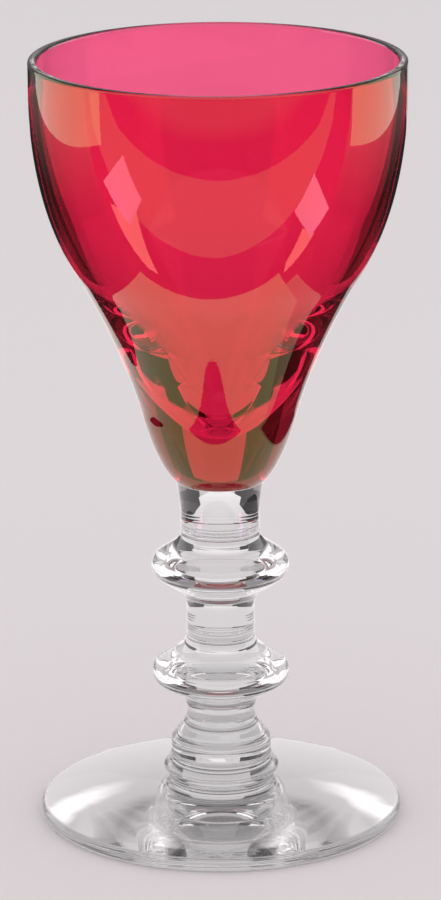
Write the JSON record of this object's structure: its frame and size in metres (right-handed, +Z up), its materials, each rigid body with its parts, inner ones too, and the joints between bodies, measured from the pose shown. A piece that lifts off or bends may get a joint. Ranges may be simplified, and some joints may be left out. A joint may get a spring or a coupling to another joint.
{
  "type": "liqueur glass",
  "caption": "Small stemmed liqueur glass: a tapering ruby bowl on a colourless stem with flattened knops, a bell-shaped knop, a ring and a round foot.",
  "frame": {"origin": "middle of the foot, on the surface that the glass stands on", "axes": "+Z up along the stem's axis; the glass is round about it, so X and Y are any two level directions"},
  "size_m": [0.052, 0.052, 0.1089],
  "materials": {
    "ruby_glass": "clear glass with a thin ruby skin outside and a gold-green lustre, fire polished",
    "clear_glass": "colourless glass, fire polished"
  },
  "bodies": {
    "root": {"bowl": "ruby_glass", "bowl_collar": "clear_glass", "upper_knop": "clear_glass", "middle_neck": "clear_glass", "lower_knop": "clear_glass", "bell_knop": "clear_glass", "foot_ring": "clear_glass", "foot": "clear_glass"}
  },
  "joints": []
}
